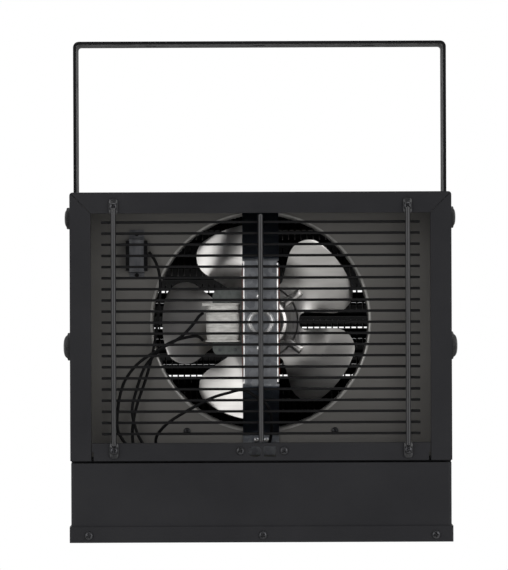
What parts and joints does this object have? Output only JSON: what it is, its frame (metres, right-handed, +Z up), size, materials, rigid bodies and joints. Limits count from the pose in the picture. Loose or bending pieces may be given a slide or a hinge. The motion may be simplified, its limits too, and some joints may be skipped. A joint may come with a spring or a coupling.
{
  "type": "ceiling mounted fan heater",
  "caption": "Ceiling mounted fan heater: a sheet metal case in a tilting strap bracket, with a wire intake grille, an axial fan, finned elements and outlet louvres.",
  "frame": {"origin": "middle of the bracket's top face, which lies against the ceiling", "axes": "+Z up into the ceiling; +Y out of the warm air outlet; the intake grille faces -Y; +X along the bracket"},
  "size_m": [0.4086, 0.3507, 0.506],
  "materials": {
    "element_black": "dark oxidised steel fins",
    "black_rubber": "smooth",
    "wire_black": "black coated wire",
    "case_black": "fine textured charcoal powder coat",
    "bracket_black": "satin black powder coat",
    "shroud_grey": "dark warm grey, semi-gloss",
    "galvanised": "galvanised steel",
    "bright_aluminium": "bright mill finish",
    "laminations": "oiled electrical steel, edges of the stack",
    "tape": "light glass tape round the winding",
    "steel": "zinc plated",
    "black_plastic": "moulded",
    "white_plastic": "moulded",
    "amber_lens": "clear amber"
  },
  "bodies": {
    "bracket": {"mounting_bracket": "bracket_black", "lock_nut_left": "steel", "lock_nut_right": "steel", "pivot_washer_left": "black_plastic", "pivot_washer_right": "black_plastic"},
    "case": {"pivot_nut_left": "steel", "pivot_nut_right": "steel", "cabinet_wrap": "case_black", "rear_rail": "case_black", "cabinet_floor": "galvanised", "wiring_box": "case_black", "bottom_cover": "case_black", "cable_bushing": "black_rubber", "outlet_frame": "case_black", "fan_shroud": "shroud_grey", "motor_stack": "laminations", "motor_coil": "tape", "bearing_bracket_rear": "galvanised", "bearing_bracket_front": "galvanised", "motor_strap": "galvanised", "heating_element_3": "element_black", "heating_element_2": "element_black", "heating_element_1": "element_black", "heat_shield": "galvanised", "element_support": "galvanised", "rear_grille": "wire_black", "limit_switch_body": "black_plastic", "limit_switch_bracket": "galvanised", "limit_lead": "black_rubber", "motor_lead_a": "black_rubber", "motor_lead_b": "black_rubber", "earth_lead": "black_rubber", "terminal_block": "black_plastic", "contactor": "white_plastic", "control_panel": "case_black", "thermostat_body": "white_plastic", "selector_switch": "black_plastic", "pilot_lamp": "amber_lens"},
    "fan": {"fan_blades": "bright_aluminium", "fan_hub": "steel", "motor_shaft": "steel", "motor_rotor": "steel"},
    "lock_screw_left": {"lock_screw_left": "black_plastic"},
    "pivot_screw_left": {"pivot_screw_left": "black_plastic"},
    "lock_screw_right": {"lock_screw_right": "black_plastic"},
    "pivot_screw_right": {"pivot_screw_right": "black_plastic"},
    "louver_1": {"louver_1": "case_black"},
    "louver_2": {"louver_2": "case_black"},
    "louver_3": {"louver_3": "case_black"},
    "louver_4": {"louver_4": "case_black"},
    "louver_5": {"louver_5": "case_black"},
    "thermostat_knob": {"thermostat_knob": "black_plastic"},
    "selector_knob": {"selector_knob": "black_plastic"}
  },
  "joints": [
    {"name": "case_tilt", "type": "hinge", "parent": "bracket", "child": "case", "pos_m": [0, 0, -0.3145], "axis": [1, 0, 0], "range_deg": [-30, 30]},
    {"name": "lock_screw_left_turn", "type": "hinge", "parent": "bracket", "child": "lock_screw_left", "pos_m": [-0.1923, 0, -0.1815], "axis": [1, 0, 0], "continuous": true},
    {"name": "pivot_screw_left_turn", "type": "hinge", "parent": "case", "child": "pivot_screw_left", "pos_m": [-0.1923, 0, -0.3145], "axis": [1, 0, 0], "continuous": true},
    {"name": "lock_screw_right_turn", "type": "hinge", "parent": "bracket", "child": "lock_screw_right", "pos_m": [0.1923, 0, -0.1815], "axis": [1, 0, 0], "continuous": true},
    {"name": "pivot_screw_right_turn", "type": "hinge", "parent": "case", "child": "pivot_screw_right", "pos_m": [0.1923, 0, -0.3145], "axis": [1, 0, 0], "continuous": true},
    {"name": "fan_turn", "type": "hinge", "parent": "case", "child": "fan", "pos_m": [0, -0.095, -0.288], "axis": [0, 1, 0], "continuous": true},
    {"name": "louver_1_tilt", "type": "hinge", "parent": "case", "child": "louver_1", "pos_m": [0, 0.145, -0.2044], "axis": [1, 0, 0], "range_deg": [-13, 52]},
    {"name": "louver_2_tilt", "type": "hinge", "parent": "case", "child": "louver_2", "pos_m": [0, 0.145, -0.2442], "axis": [1, 0, 0], "range_deg": [-25, 40]},
    {"name": "louver_3_tilt", "type": "hinge", "parent": "case", "child": "louver_3", "pos_m": [0, 0.145, -0.284], "axis": [1, 0, 0], "range_deg": [-25, 40]},
    {"name": "louver_4_tilt", "type": "hinge", "parent": "case", "child": "louver_4", "pos_m": [0, 0.145, -0.3238], "axis": [1, 0, 0], "range_deg": [-25, 40]},
    {"name": "louver_5_tilt", "type": "hinge", "parent": "case", "child": "louver_5", "pos_m": [0, 0.145, -0.3636], "axis": [1, 0, 0], "range_deg": [-25, 40]},
    {"name": "thermostat_turn", "type": "hinge", "parent": "case", "child": "thermostat_knob", "pos_m": [-0.08, 0.1666, -0.4564], "axis": [0, 1, 0], "range_deg": [-135, 135]},
    {"name": "selector_turn", "type": "hinge", "parent": "case", "child": "selector_knob", "pos_m": [0.08, 0.1666, -0.4564], "axis": [0, 1, 0], "range_deg": [-90, 90]}
  ]
}
